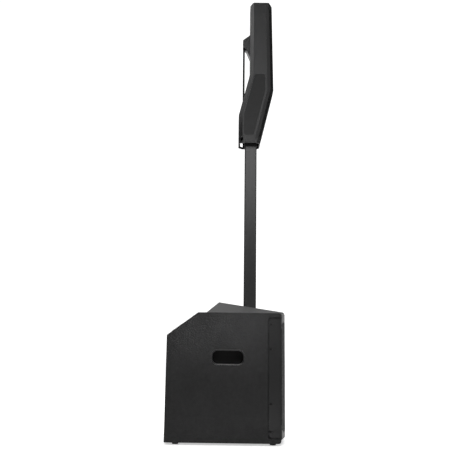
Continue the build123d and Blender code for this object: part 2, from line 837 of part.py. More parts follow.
with BuildPart() as pole_contacts:
    for start, height in ((pole_bottom + 5.3, 2.7), (pole_top - 8, 2.7)):
        with BuildSketch(Plane.XY.offset(start)):
            with Locations((0, pole_y)):
                with GridLocations(6, 6, 4, 2):
                    Circle(1.2)
        extrude(amount=height)

# ---------------------------------------------------------------- column array


def array_section(z, inset):
    """Octagonal plan of the array at height z, drawn inset inside its outer faces."""
    width = array_half_width - inset
    front = array_front_y(z) + inset
    rear = array_rear_y(z) - inset
    front_cut = front_corner - 0.586 * inset
    rear_cut = rear_corner - 0.586 * inset
    right = [
        (width - front_cut, front),
        (width, front + front_cut),
        (width, rear - rear_cut),
        (width - rear_cut, rear),
    ]
    left = [(-x, y) for x, y in reversed(right)]
    return right + left


def array_block(inset, bottom, top):
    """Solid of the bent column between two heights, drawn inset inside its outer faces."""
    bends = sorted({z for z, y in array_front_bends + array_rear_bends if bottom < z < top})
    heights = [bottom, *bends, top]
    with BuildPart() as block:
        for z in heights:
            with BuildSketch(Plane.XY.offset(z)):
                with BuildLine():
                    Polyline(*array_section(z, inset), close=True)
                make_face()
        loft(ruled=True)
        front_shoulder = Plane(origin=(0, -205, array_top), x_dir=(1, 0, 0), z_dir=(0, -1, 1))
        rear_shoulder = Plane(origin=(0, -117, array_top), x_dir=(1, 0, 0), z_dir=(0, 12, 14))
        split(bisect_by=front_shoulder.offset(-inset), keep=Keep.BOTTOM)
        split(bisect_by=rear_shoulder.offset(-inset), keep=Keep.BOTTOM)
    return block.part


def front_zone(gap):
    """Block of space in front of the array's side seam, shrunk by gap."""
    low = array_grille_bottom + gap
    high = array_grille_top - gap
    seam = [(array_front_y(z) + seam_setback - gap, z) for z in (low, 1800.0, high)]
    with BuildPart() as zone:
        with BuildSketch(Plane.YZ):
            with BuildLine():
                Polyline(*seam, (-300, high), (-300, low), close=True)
            make_face()
        extrude(amount=100, both=True)
    return zone.part


slot_heights = (1511.5, 1533.5)
hollow_bottom = array_bottom - 10

with BuildPart() as array_shell:
    add(array_block(0, array_bottom, array_top))
    add(array_block(array_wall, hollow_bottom, array_top - array_wall), mode=Mode.SUBTRACT)
    add(front_zone(0), mode=Mode.SUBTRACT)
    with BuildSketch(Plane.XY.offset(slot_heights[0])):
        with Locations((0, -63.5)):
            Rectangle(140, 13)
    extrude(amount=slot_heights[1] - slot_heights[0], mode=Mode.SUBTRACT)

with BuildPart() as array_grille:
    add(array_block(0.3, array_bottom, array_top))
    add(array_block(1.5, hollow_bottom, array_top - 0.5), mode=Mode.SUBTRACT)
    add(front_zone(0.4), mode=Mode.INTERSECT)

with BuildPart() as array_grille_foam:
    add(array_block(1.9, array_bottom, array_top - 2))
    add(array_block(4.9, hollow_bottom, array_top - 3), mode=Mode.SUBTRACT)
    add(front_zone(1), mode=Mode.INTERSECT)

baffle_setback = 36.0
array_baffle_thickness = 8.0
array_inner_half_width = array_half_width - array_wall - 0.2
driver_pitch = 79.0
upper_driver_heights = [1846.0 + driver_pitch * index for index in range(6)]
lower_driver_heights = [1757.0, 1680.0]


def driver_spot(z):
    """Plane on the array baffle's front face at height z, facing outwards."""
    lean = (array_front_y(z + 5) - array_front_y(z - 5)) / 10
    return Plane(origin=(0, array_front_y(z) + baffle_setback, z), x_dir=(1, 0, 0), z_dir=(0, -1, lean))


driver_spots = [driver_spot(z) for z in upper_driver_heights + lower_driver_heights]

with BuildPart() as array_baffle:
    with BuildSketch(Plane.YZ):
        with BuildLine():
            face = [(array_front_y(z) + baffle_setback, z) for z in (1590.0, 1800.0, 2290.0)]
            back = [(y + array_baffle_thickness, z) for y, z in reversed(face)]
            Polyline(*face, *back, close=True)
        make_face()
    extrude(amount=array_inner_half_width, both=True)
    for spot in driver_spots:
        with BuildSketch(spot.offset(2)):
            Circle(33)
        extrude(amount=-14, mode=Mode.SUBTRACT)


def driver_ring(outline):
    """Solid of revolution about +Z from (radius, height) points."""
    with BuildPart() as ring:
        with BuildSketch(Plane.XZ):
            with BuildLine():
                Polyline(*outline, close=True)
            make_face()
        revolve(axis=Axis.Z)
    return ring.part


with BuildPart() as driver_frame:
    with BuildSketch(Plane.XY):
        RectangleRounded(77, 77, 8)
        Circle(31, mode=Mode.SUBTRACT)
    extrude(amount=3)
    add(driver_ring([(31, 0), (32.6, 0), (32.6, -12), (24, -28), (10, -28), (10, -26.5), (23, -26.5), (31, -11)]))

driver_cone_profile = [(30.6, 2.6), (27, 4.2), (24, 2), (9.4, -12), (0, -8), (0, -7), (9.4, -10.8), (23.6, 3), (27, 5.4),
                       (30.6, 3.6)]
driver_cone = driver_ring(driver_cone_profile)
driver_magnet = driver_ring([(0, -28), (22, -28), (24, -30), (24, -42), (22, -44), (0, -44)])

with BuildPart() as array_driver_frames:
    for spot in driver_spots:
        add(spot.location * driver_frame.part)

with BuildPart() as array_driver_cones:
    for spot in driver_spots:
        add(spot.location * driver_cone)

with BuildPart() as array_driver_magnets:
    for spot in driver_spots:
        add(spot.location * driver_magnet)

with BuildPart() as array_base_plate:
    with BuildSketch(Plane.XY.offset(pole_top)):
        with BuildLine():
            Polyline(*array_section(pole_top, array_wall + 2.0), close=True)
        make_face()
        with Locations(*[(x, pole_y + dy) for x in (-34, 34) for dy in (-24, 24)]):
            Circle(2.1, mode=Mode.SUBTRACT)
    extrude(amount=base_plate_top - pole_top)

collar_x = pole_width + 2 * (socket_gap + collar_wall)
collar_y = pole_depth + 2 * (socket_gap + collar_wall)

with BuildPart() as array_socket:
    add(pillar((0, pole_y), collar_x, collar_y, collar_bottom, pole_top))
    add(pillar((0, pole_y), 90, collar_y, pole_top - 5, pole_top))
    add(
        pillar((0, pole_y), pole_width + 2 * socket_gap, pole_depth + 2 * socket_gap, collar_bottom, pole_top),
        mode=Mode.SUBTRACT,
    )
    with BuildSketch(Plane.XY.offset(pole_top - 5)):
        with Locations(*[(x, pole_y + dy) for x in (-34, 34) for dy in (-24, 24)]):
            Circle(2.1)
    extrude(amount=5, mode=Mode.SUBTRACT)

with BuildPart() as array_contacts:
    add(pillar((0, pole_y), contact_size[0], contact_size[1], pole_top - contact_size[2], pole_top, 3))

base_screw = screw(4.0, 2.4, 2.0, 12.5)

with BuildPart() as array_base_screws:
    for x in (-34, 34):
        for dy in (-24, 24):
            add(Plane(origin=(x, pole_y + dy, pole_top - 5), z_dir=(0, 0, -1)).location * base_screw)

# ---------------------------------------------------------------- array carrying handle
handle_outer = -66.5
handle_inner = -76.5
fairing_outline = [(-104, 2128), (-65.5, 2098), (-65.5, 2064), (-85, 2043), (-104, 1996)]
underside_slope = (2064 - 2043) / (85 - 65.5)
lean_low, lean_high = array_rear_bends[1:3]
rear_lean = (lean_high[0] - lean_low[0]) / (lean_low[1] - lean_high[1])

with BuildPart() as handle_fairing:
    with BuildSketch(Plane.YZ):
        with BuildLine():
            Polyline(*fairing_outline, close=True)
        make_face()
    extrude(amount=25, both=True)
    fairing_edges = handle_fairing.edges().filter_by(Axis.X).group_by(Axis.Y)[-1]
    fillet(fairing_edges, 2)

with BuildPart() as handle_bar:
    with BuildSketch(Plane.YZ):
        with BuildLine():
            Polyline(
                (handle_outer, 2064 + (handle_outer + 65.5) * underside_slope),
                (handle_inner, 2064 + (handle_inner + 65.5) * underside_slope),
                (handle_inner, lean_high[0] - (handle_inner - lean_high[1]) * rear_lean),
                (handle_outer, lean_high[0] - (handle_outer - lean_high[1]) * rear_lean),
                close=True,
            )
        make_face()
    extrude(amount=13, both=True)
    fillet(handle_bar.edges().filter_by(Axis.Z), 3)

# ---------------------------------------------------------------- write every piece
pieces = {
    "side_panel_left": side_panel_left,
    "side_panel_right": side_panel_right,
    "bottom_panel": bottom_panel,
    "back_panel": back_panel,
    "top_panel": top_panel,
    "baffle_board": baffle_board,
    "cabinet_brace": cabinet_brace,
    "top_housing": top_housing,
    "pole_socket": pole_socket,
    "socket_contacts": socket_contacts,
    "sub_grille": sub_grille,
    "sub_grille_foam": sub_grille_foam,
    "sub_grille_screws": sub_grille_screws,
    "handle_cup_left": handle_cup_left,
    "handle_cup_right": handle_cup_right,
    "handle_cup_screws": handle_cup_screws,
    "rubber_feet": rubber_feet,
    "foot_screws": foot_screws,
    "housing_screws": housing_screws,
    "woofer_frame": woofer_frame,
    "woofer_magnet": woofer_magnet,
    "woofer_surround": woofer_surround,
    "woofer_spider": woofer_spider,
    "woofer_cone": woofer_cone,
    "woofer_dust_cap": woofer_dust_cap,
    "woofer_screws": woofer_screws,
    "port_tubes": port_tubes,
    "control_frame": control_frame,
    "control_panel": control_panel,
    "amp_chassis": amp_chassis,
    "amp_board": amp_board,
    "amp_heatsink": amp_heatsink,
    "display_window": display_window,
    "encoder_body": encoder_body,
    "encoder_rotor": encoder_rotor,
    "encoder_knob": encoder_knob,
    "combo_jacks": combo_jacks,
    "link_jack": link_jack,
    "mains_inlet": mains_inlet,
    "mains_pins": mains_pins,
    "power_switch_frame": power_switch_frame,
    "power_rocker": power_rocker,
    "control_panel_screws": control_panel_screws,
    "pole_tube": pole_tube,
    "pole_lower_plug": pole_lower_plug,
    "pole_upper_plug": pole_upper_plug,
    "pole_contacts": pole_contacts,
    "array_shell": array_shell,
    "array_grille": array_grille,
    "array_grille_foam": array_grille_foam,
    "array_baffle": array_baffle,
    "array_driver_frames": array_driver_frames,
    "array_driver_cones": array_driver_cones,
    "array_driver_magnets": array_driver_magnets,
    "array_base_plate": array_base_plate,
    "array_socket": array_socket,
    "array_contacts": array_contacts,
    "array_base_screws": array_base_screws,
    "handle_fairing": handle_fairing,
    "handle_bar": handle_bar,
}

for label, piece in pieces.items():
    piece.part.label = label
    export_step(piece.part, f"parts/{label}.step")
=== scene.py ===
"""Looks for the column loudspeaker: camera, studio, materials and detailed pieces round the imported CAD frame.

Every length in a named constant below is in millimetres unless its comment says otherwise.
"""
import json
from math import asin, ceil, cos, hypot, pi, radians, sin, sqrt

import bmesh
import bpy
from mathutils import Matrix, Vector, geometry


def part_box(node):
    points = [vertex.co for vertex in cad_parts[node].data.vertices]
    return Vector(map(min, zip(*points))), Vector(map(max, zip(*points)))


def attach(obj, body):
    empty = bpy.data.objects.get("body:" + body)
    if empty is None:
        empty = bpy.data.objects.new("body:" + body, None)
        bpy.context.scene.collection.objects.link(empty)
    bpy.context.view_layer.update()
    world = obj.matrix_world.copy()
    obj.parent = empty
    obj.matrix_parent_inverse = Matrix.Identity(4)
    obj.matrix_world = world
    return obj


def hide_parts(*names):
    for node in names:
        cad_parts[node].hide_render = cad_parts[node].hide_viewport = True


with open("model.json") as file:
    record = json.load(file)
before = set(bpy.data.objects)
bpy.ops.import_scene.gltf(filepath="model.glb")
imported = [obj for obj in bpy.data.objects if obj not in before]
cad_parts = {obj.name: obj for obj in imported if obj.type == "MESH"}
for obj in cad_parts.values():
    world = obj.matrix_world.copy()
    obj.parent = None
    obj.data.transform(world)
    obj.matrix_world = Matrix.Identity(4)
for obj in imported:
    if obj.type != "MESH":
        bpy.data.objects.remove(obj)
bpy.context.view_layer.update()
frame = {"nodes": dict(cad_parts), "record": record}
nodes = frame["nodes"]
slot_of = {part["node"]: part["material_slot"] for part in frame["record"]["subparts"]}
MM = 0.001
scene = bpy.context.scene

# ---------------------------------------------------------------- camera
CAMERA_PLACE = (-3.3142, 0.0195, 0.4209)  # metres
CAMERA_PITCH = 0.19313  # radians above level
CAMERA_ROLL = 0.0138
CAMERA_LENS = 51.81

forward = Vector((cos(CAMERA_PITCH), 0, sin(CAMERA_PITCH)))
level_right = Vector((0, -1, 0))
level_up = Vector((-sin(CAMERA_PITCH), 0, cos(CAMERA_PITCH)))
right = level_right * cos(CAMERA_ROLL) + level_up * sin(CAMERA_ROLL)
up = level_up * cos(CAMERA_ROLL) - level_right * sin(CAMERA_ROLL)
camera_data = bpy.data.cameras.new("camera")
camera_data.lens = CAMERA_LENS
camera_data.sensor_width = 36
camera_data.clip_start = 0.05
camera_data.clip_end = 200
camera = bpy.data.objects.new("camera", camera_data)
camera.matrix_world = Matrix.Translation(CAMERA_PLACE) @ Matrix((right, up, -forward)).transposed().to_4x4()
scene.collection.objects.link(camera)
scene.camera = camera
scene.view_settings.view_transform = "Standard"


# ---------------------------------------------------------------- node helpers
class Tree:
    """Small builder for one node tree."""

    def __init__(self, tree):
        self.tree = tree
        tree.nodes.clear()

    def node(self, kind, **settings):
        made = self.tree.nodes.new("ShaderNode" + kind)
        for name, value in settings.items():
            if hasattr(made, name):
                setattr(made, name, value)
            else:
                made.inputs[name.replace("_", " ")].default_value = value
        return made

    def link(self, source, target):
        self.tree.links.new(source, target)

    def ramp(self, value, stops):
        made = self.node("ValToRGB")
        elements = made.color_ramp.elements
        while len(elements) < len(stops):
            elements.new(0.5)
        for element, (place, grey) in zip(elements, stops):
            element.position = place
            element.color = (*((grey,) * 3 if isinstance(grey, float) else grey), 1)
        self.link(value, made.inputs["Fac"])
        return made.outputs["Color"]

    def span(self, value, low, high, source=(0.0, 1.0)):
        made = self.node("MapRange", clamp=True)
        for name, number in zip(("From Min", "From Max", "To Min", "To Max"), (*source, low, high)):
            made.inputs[name].default_value = number
        self.link(value, made.inputs["Value"])
        return made.outputs["Result"]

    def blend(self, share, first, second, mode="MIX"):
        made = self.node("MixRGB", blend_type=mode)
        for name, item in (("Fac", share), ("Color1", first), ("Color2", second)):
            if hasattr(item, "is_output"):
                self.link(item, made.inputs[name])
            elif name == "Fac":
                made.inputs[name].default_value = item
            else:
                made.inputs[name].default_value = (*item, 1)
        return made.outputs["Color"]

    def maths(self, operation, first, second=0.0):
        made = self.node("Math", operation=operation)
        for index, item in enumerate((first, second)):
            if hasattr(item, "is_output"):
                self.link(item, made.inputs[index])
            else:
                made.inputs[index].default_value = item
        return made.outputs["Value"]


def grey(level):
    """Neutral colour of that linear level."""
    return (level, level, level * 1.02)


# ---------------------------------------------------------------- studio
floor_mesh = bpy.data.meshes.new("studio_floor")
FLOOR_HALF = 40.0  # metres
floor_corners = [(x * FLOOR_HALF, y * FLOOR_HALF, 0) for x, y in ((-1, -1), (1, -1), (1, 1), (-1, 1))]
floor_mesh.from_pydata(floor_corners, [], [(0, 1, 2, 3)])
floor = bpy.data.objects.new("studio_floor", floor_mesh)
scene.collection.objects.link(floor)
floor_paint = bpy.data.materials.new("studio_floor")
floor_paint.use_nodes = True
t = Tree(floor_paint.node_tree)
shader = t.node("BsdfPrincipled", Base_Color=(0.95, 0.95, 0.95, 1), Roughness=0.9, Emission_Strength=0.5)
shader.inputs["Emission Color"].default_value = (1, 1, 1, 1)
shader.inputs["Specular IOR Level"].default_value = 0.1
t.link(shader.outputs[0], t.node("OutputMaterial").inputs["Surface"])
floor_mesh.materials.append(floor_paint)

world = bpy.data.worlds.new("studio")
scene.world = world
world.use_nodes = True
t = Tree(world.node_tree)
direction = t.node("SeparateXYZ")
t.link(t.node("TexCoord").outputs["Generated"], direction.inputs[0])
behind = t.span(direction.outputs["X"], 0.0, 1.2, (0.4, 0.9))
above = t.span(direction.outputs["Z"], 0.0, 1.1, (0.6, 0.95))
strength = t.maths("ADD", t.maths("ADD", behind, above), 0.04)
strength = t.maths("MAXIMUM", strength, t.node("LightPath").outputs["Is Camera Ray"])
backdrop = t.node("Background", Color=(1, 1, 1, 1))
t.link(strength, backdrop.inputs["Strength"])
t.link(backdrop.outputs[0], t.node("OutputWorld").inputs["Surface"])


def softbox(name, place, aim, size, power, spread):
    """Soft rectangular studio light at place, facing aim; metres, watts, and degrees for its spread."""
    data = bpy.data.lights.new(name, "AREA")
    data.shape = "RECTANGLE"
    data.size, data.size_y = size
    data.energy = power
    data.spread = radians(spread)
    light = bpy.data.objects.new(name, data)
    light.location = place
    light.rotation_mode = "QUATERNION"
    light.rotation_quaternion = (Vector(aim) - Vector(place)).to_track_quat("-Z", "Y")
    light.visible_camera = False
    scene.collection.objects.link(light)


# Name, place, aim, size in metres, watts, spread in degrees
SOFTBOXES = (
    ("softbox_top", (-0.6, 0.0, 7.0), (0, 0, 0), (5.0, 5.0), 115, 180),
    ("softbox_near", (-0.75, 0.05, 0.9), (-0.22, 0.05, 0.5), (0.6, 0.1), 0.5, 40),
    ("softbox_low", (-0.9, 0.03, 0.07), (-0.22, 0.03, 0.05), (0.6, 0.08), 0.085, 40),
    ("softbox_side", (-3.9, -0.15, 2.6), (0, -0.1, 1.5), (1.2, 1.2), 19, 180),
    ("softbox_high", (-3.9, -0.15, 3.75), (0, -0.1, 2.0), (1.0, 0.5), 11, 180),
    ("softbox_rear", (0, 3.0, 4.2), (0, -0.1, 2.0), (1.6, 1.0), 20, 180),
    ("softbox_edge", (-2.6, -2.6, 1.8), (0, -0.15, 1.4), (0.3, 3.6), 27, 180),
)
for settings in SOFTBOXES:
    softbox(*settings)


# ---------------------------------------------------------------- materials
def material(name, colour, rough, metallic=0.0, grain=(900, 0.05), relief=None, mottle=0.15, wear=0.0,
             specular=0.3, coat=0.0, stretch=(1, 1, 1), pattern="noise", fleck=None, painted_light_below=None):
    """Procedural finish. grain is (scale per metre, depth in mm), relief a second coarser one,
    mottle the share by which the colour drifts, wear how much lighter the edges are. painted_light_below
    is (low, high, gain) in metres up: painted light, below low the colour is gain times as light."""
    made = bpy.data.materials.new(name)
    made.use_nodes = True
    t = Tree(made.node_tree)
    shader = t.node("BsdfPrincipled", Metallic=metallic)
    shader.inputs["Specular IOR Level"].default_value = specular
    shader.inputs["Coat Weight"].default_value = coat
    shader.inputs["Coat Roughness"].default_value = 0.15
    place = t.node("Mapping")
    place.inputs["Scale"].default_value = stretch
    t.link(t.node("TexCoord").outputs["Object"], place.inputs["Vector"])

    def texture(kind, scale, detail=2.0):
        if kind == "cells":
            cell = t.node("TexVoronoi", feature="SMOOTH_F1", Scale=scale, Smoothness=0.6)
            t.link(place.outputs[0], cell.inputs["Vector"])
            return cell.outputs["Distance"]
        if kind == "weave":
            wave_x = t.node("TexWave", bands_direction="X", Scale=scale)
            wave_z = t.node("TexWave", bands_direction="Z", Scale=scale)
            for wave in (wave_x, wave_z):
                t.link(place.outputs[0], wave.inputs["Vector"])
            return t.maths("MAXIMUM", wave_x.outputs["Fac"], wave_z.outputs["Fac"])
        cloud = t.node("TexNoise", Scale=scale, Detail=detail)
        t.link(place.outputs[0], cloud.inputs["Vector"])
        return cloud.outputs["Fac"]

    fine = texture(pattern, grain[0])
    broad = texture("noise", 7, 3.0)
    middle = texture("noise", 60, 3.0)
    drift = t.blend(0.5, broad, middle)
    low = [c * (1 - mottle) for c in colour]
    high = [c * (1 + mottle) for c in colour]
    tint = t.ramp(drift, [(0.25, tuple(low)), (0.75, tuple(high))])
    tint = t.blend(t.span(fine, 0.0, 0.35, (0.35, 0.75)), tint, tuple(min(1, c * 1.5) for c in colour))
    if fleck:
        speck = t.span(texture("noise", fleck[0], 1.0), 0.0, 1.0, (0.66, 0.72))
        tint = t.blend(speck, tint, fleck[1])
    roughness = t.span(drift, rough * 0.9, min(1.0, rough * 1.1), (0.2, 0.8))
    if wear:
        rounded = t.node("Bevel", samples=4)
        rounded.inputs["Radius"].default_value = 0.0012
        flat = t.node("NewGeometry")
        facing = t.node("VectorMath", operation="DOT_PRODUCT")
        t.link(rounded.outputs[0], facing.inputs[0])
        t.link(flat.outputs["Normal"], facing.inputs[1])
        edge = t.span(facing.outputs["Value"], wear, 0.0, (0.86, 0.995))
        edge = t.maths("MULTIPLY", edge, t.span(middle, 0.2, 1.0, (0.35, 0.65)))
        tint = t.blend(edge, tint, tuple(min(1, c * 2.2 + 0.012) for c in colour))
        roughness = t.maths("SUBTRACT", roughness, t.maths("MULTIPLY", edge, 0.12))
    # Painted light: below the low height the colour turns lighter, standing in for the brighter light lower
    # down.
    if painted_light_below:
        height = t.node("SeparateXYZ")
        t.link(place.outputs[0], height.inputs[0])
        painted_light_share = t.span(height.outputs["Z"], 1.0, 0.0, painted_light_below[:2])
        tint = t.blend(painted_light_share, tint, tuple(c * painted_light_below[2] for c in colour))
    t.link(tint, shader.inputs["Base Color"])
    t.link(roughness, shader.inputs["Roughness"])
    normal = None
    layers = [(texture(pattern, grain[0]), grain[1])]
    if relief:
        layers.append((texture("noise", relief[0], 2.0), relief[1]))
    for height, depth in layers:
        bump = t.node("Bump", Strength=1.0, Distance=depth * MM)
        t.link(height, bump.inputs["Height"])
        if normal:
            t.link(normal, bump.inputs["Normal"])
        normal = bump.outputs[0]
    t.link(normal, shader.inputs["Normal"])
    t.link(shader.outputs[0], t.node("OutputMaterial").inputs["Surface"])
    return made


# Finish of each material slot and variant: (colour, roughness, further settings of material())
FINISHES = {
    "board": (grey(0.008), 0.52,
               dict(grain=(420, 0.6), relief=(130, 1.9), pattern="cells", mottle=0.6, wear=0.5,
                    specular=0.18)),
    "raw_board": ((0.10, 0.075, 0.05), 0.75,
               dict(grain=(700, 0.1), relief=(40, 0.3), stretch=(1, 0.12, 1), mottle=0.3)),
    "housing": (grey(0.012), 0.5,
               dict(grain=(1100, 0.12), relief=(320, 0.08), pattern="cells", wear=0.35,
                    specular=0.65)),
    "array_case": (grey(0.012), 0.3,
               dict(grain=(1100, 0.12), relief=(320, 0.08), pattern="cells", wear=0.3)),
    "grille_steel": (grey(0.007), 0.42,
               dict(grain=(1300, 0.06), relief=(260, 0.05), wear=0.25, specular=0.2)),
    "fine_grille": (grey(0.010), 0.4,
               dict(grain=(1300, 0.05), relief=(260, 0.04), wear=0.25, specular=0.3)),
    "foam": (grey(0.004), 0.95,
               dict(grain=(650, 1.2), relief=(240, 0.8), pattern="cells", mottle=0.35, specular=0.15)),
    "cast": (grey(0.009), 0.45, dict(grain=(1200, 0.08), relief=(300, 0.08), wear=0.35)),
    "pole_metal": (grey(0.012), 0.3,
               dict(specular=0.5, grain=(2600, 0.02), relief=(500, 0.03), stretch=(1, 1, 0.02),
                    wear=0.3, mottle=0.08)),
    "plate_steel": (grey(0.010), 0.45, dict(grain=(1500, 0.05), relief=(350, 0.05), wear=0.3)),
    "zinc_steel": ((0.5, 0.5, 0.48), 0.34,
               dict(metallic=1.0, grain=(1600, 0.02), relief=(90, 0.02), stretch=(1, 0.15, 0.15),
                    mottle=0.1)),
    "black_screw": (grey(0.006), 0.4, dict(metallic=0.2, grain=(2200, 0.03), wear=0.8)),
    "rubber": (grey(0.012), 0.8, dict(grain=(1500, 0.08), relief=(400, 0.1), fleck=(1200, grey(0.08)))),
    "cone_paper": (grey(0.013), 0.62, dict(grain=(900, 0.15), relief=(160, 0.25), mottle=0.3)),
    "treated_cloth": ((0.022, 0.02, 0.019), 0.7, dict(grain=(260, 0.3), pattern="weave")),
    "basket": (grey(0.014), 0.5, dict(grain=(800, 0.12), relief=(200, 0.12), wear=0.3)),
    # pocket: painted shade, a darker black for parts that sit in shade.
    "pocket": (grey(0.004), 0.6,
               dict(grain=(1100, 0.12), relief=(320, 0.08), pattern="cells", specular=0.12)),
    # painted_shade_inlay: painted shade, a darker copy of the array case black for the shaded lower side, with
    # painted light lighter near its bottom.
    "painted_shade_inlay": (grey(0.004), 0.32,
               dict(grain=(1500, 0.05), relief=(420, 0.04), mottle=0.12, specular=0.18, painted_light_below=(1.56,
                    1.70, 2.2))),
    "lip": (grey(0.009), 0.32, dict(grain=(1500, 0.04), relief=(420, 0.04), specular=0.36)),
    "magnet": ((0.12, 0.12, 0.13), 0.5, dict(metallic=0.3, grain=(900, 0.08), mottle=0.2, wear=0.3)),
    "connector": (grey(0.008), 0.42, dict(grain=(1800, 0.04), relief=(500, 0.04), wear=0.2)),
    "gold_pin": ((0.72, 0.5, 0.2), 0.24, dict(metallic=1.0, grain=(3000, 0.01), mottle=0.08)),
    "board_green": ((0.012, 0.09, 0.035), 0.35, dict(grain=(500, 0.05), pattern="weave", coat=0.3)),
    "window": ((0.006, 0.007, 0.009), 0.08, dict(grain=(900, 0.004), coat=1.0, mottle=0.3)),
    "knob": (grey(0.016), 0.58, dict(grain=(2000, 0.05), relief=(600, 0.03), wear=0.25)),
    "port_plastic": (grey(0.008), 0.5, dict(grain=(1200, 0.08), relief=(300, 0.05))),
}
finishes = {name: material(name, colour, rough, **more) for name, (colour, rough, more) in FINISHES.items()}

WELD = 0.01
FLAT_ANGLE = 0.3  # degrees

# Edge rounding of the CAD nodes that stay, and of the side boards: (width in mm, segments)
EDGES = {
    "side_panel_left": (2.5, 3), "side_panel_right": (2.5, 3), "bottom_panel": (1.2, 2),
    "back_panel": (1.2, 2), "top_panel": (0.5, 1), "baffle_board": (0.8, 1), "top_housing": (2.2, 3),
    "pole_socket": (0.8, 2), "handle_cup_left": (1.0, 2), "handle_cup_right": (1.0, 2),
    "control_panel": (0.4, 2), "pole_tube": (0.6, 2), "pole_lower_plug": (0.6, 2),
    "pole_upper_plug": (0.6, 2), "array_socket": (0.6, 2), "array_base_plate": (0.5, 1),
    "amp_heatsink": (0.3, 1), "display_window": (0.4, 2), "power_rocker": (0.6, 2),
    "power_switch_frame": (0.4, 2), "rubber_feet": (0.8, 2), "port_tubes": (2.0, 3),
    "mains_inlet": (0.4, 2),
}


def merge_flat(piece):
    """Welds a piece's vertices and joins its flat faces by modifiers."""
    weld = piece.modifiers.new("weld", "WELD")
    weld.merge_threshold = WELD * MM
    flatten = piece.modifiers.new("flatten", "DECIMATE")
    flatten.decimate_type = "DISSOLVE"
    flatten.angle_limit = radians(FLAT_ANGLE)


def bevel_edges(piece, width, segments, angle):
    """Bevels the edges whose faces meet at more than angle degrees."""
    bevel = piece.modifiers.new("bevel", "BEVEL")
    bevel.width = width * MM
    bevel.segments = segments
    bevel.limit_method = "ANGLE"
    bevel.angle_limit = radians(angle)
    bevel.use_clamp_overlap = True


def round_edges(piece, width, segments):
    """Merges, flattens and bevels a piece by modifiers, and shades it by face area."""
    merge_flat(piece)
    bevel_edges(piece, width, segments, 28)
    weighted = piece.modifiers.new("weighted", "WEIGHTED_NORMAL")
    weighted.mode = "FACE_AREA"
    weighted.weight = 50
    weighted.keep_sharp = True


# CAD nodes in the dark pocket finish instead of their slot's own: painted shade, darker than their own black,
# for the hand cups, the array socket, the handle bar and the grille screws in their slots
PAINTED_SHADE_NODES = ("handle_cup_left", "handle_cup_right", "array_socket", "handle_bar", "sub_grille_screws")

for name, piece in nodes.items():
    finish = finishes["pocket" if name in PAINTED_SHADE_NODES else slot_of[name]]
    piece.data.materials.clear()
    piece.data.materials.append(finish)
    if name in EDGES:
        round_edges(piece, *EDGES[name])


# ---------------------------------------------------------------- mesh helpers
def new_piece(name, mesh, body, slot, stands_for=()):
    """Mesh object that rides on a body, with the finish of its material slot."""
    piece = bpy.data.objects.new(name, mesh)
    scene.collection.objects.link(piece)
    mesh.materials.clear()
    mesh.materials.append(finishes[slot])
    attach(piece, body)
    if stands_for:
        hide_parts(*stands_for)
    return piece


def smooth(mesh, angle=35):
    """Smooth shading, sharp where faces meet at more than angle degrees."""
    mesh.shade_smooth()
    mesh.set_sharp_from_angle(angle=radians(angle))


class Section:
    """Plan outline of a bent sheet, mirrored about x = 0, as a path that runs outwards from its middle."""

    def __init__(self, half):
        mirrored = [(-x, y) for x, y in reversed(half[1:])]
        self.points = mirrored + half
        self.reach = [0.0]
        for (x0, y0), (x1, y1) in zip(self.points, self.points[1:]):
            self.reach.append(self.reach[-1] + hypot(x1 - x0, y1 - y0))
        self.middle = self.reach[-1] / 2

    def at(self, u):
        """Point and outward normal at distance u from the middle."""
        target = min(max(u + self.middle, 0.0), self.reach[-1])
        low, high = 0, len(self.reach) - 1
        while high - low > 1:
            half = (low + high) // 2
            if self.reach[half] <= target:
                low = half
            else:
                high = half
        share = (target - self.reach[low]) / (self.reach[high] - self.reach[low])
        (x0, y0), (x1, y1) = self.points[low], self.points[high]
        length = hypot(x1 - x0, y1 - y0)
        return x0 + (x1 - x0) * share, y0 + (y1 - y0) * share, (y1 - y0) / length, -(x1 - x0) / length


def corner_arc(centre, radius, start, end, steps):
    """Points of an arc, angles measured from -Y towards +X in radians."""
    turns = [start + (end - start) * step / steps for step in range(steps + 1)]
    return [(centre[0] + radius * sin(turn), centre[1] - radius * cos(turn)) for turn in turns]


def hexagon(u, v, across, parts=1):
    """Outline of a hexagon with level top and bottom, each side cut into parts."""
    reach = across / sqrt(3)
    corners = [(u + reach * cos(pi * i / 3), v + reach * sin(pi * i / 3)) for i in range(6)]
    outline = []
    for (u0, v0), (u1, v1) in zip(corners, corners[1:] + corners[:1]):
        outline += [(u0 + (u1 - u0) * i / parts, v0 + (v1 - v0) * i / parts) for i in range(parts)]
    return outline


